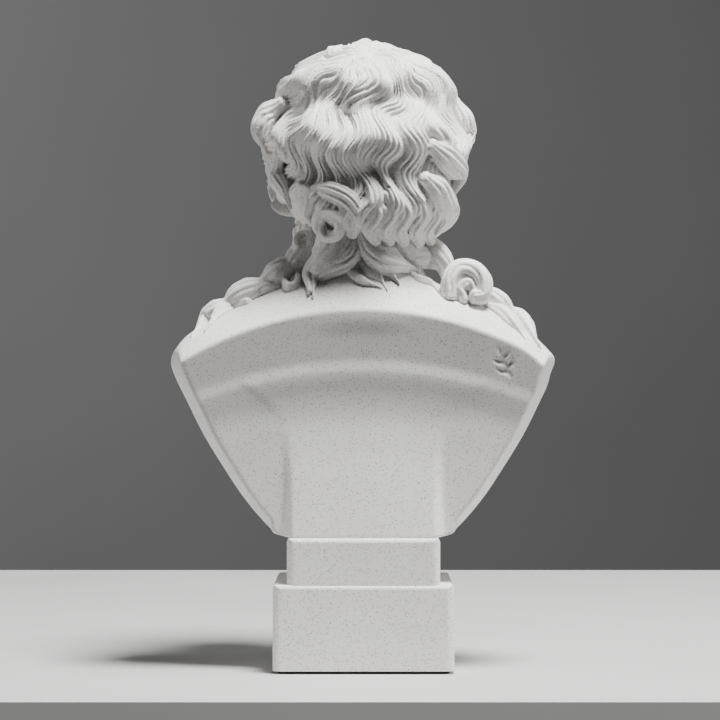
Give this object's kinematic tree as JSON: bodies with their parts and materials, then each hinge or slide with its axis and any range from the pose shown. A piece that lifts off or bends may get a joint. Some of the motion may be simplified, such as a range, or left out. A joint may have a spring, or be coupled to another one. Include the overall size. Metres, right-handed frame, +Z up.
{
  "type": "marble portrait bust",
  "caption": "Bearded classical bust with long wavy hair, cast with a banded, hollowed back and bolted to a two-step socle on a felt pad.",
  "frame": {"origin": "centre of the socle's footprint, on the surface that the felt pad rests on", "axes": "+Z up; the shoulders run along X with the figure's own left at +X; the back is towards +Y and the face towards -Y, turned 14 degrees to its own left"},
  "size_m": [0.197, 0.1221, 0.32],
  "materials": {
    "cast_marble": "honed, finely speckled",
    "socle_marble": "honed, finely speckled",
    "felt": "pressed felt",
    "brass": "turned",
    "steel": "zinc plated"
  },
  "bodies": {
    "root": {"bust": "cast_marble", "socle": "socle_marble", "felt_pad": "felt", "anchor_sleeve": "brass", "tie_rod": "steel", "rod_washer": "steel", "rod_nut": "steel", "locating_pins": "steel"}
  },
  "joints": []
}
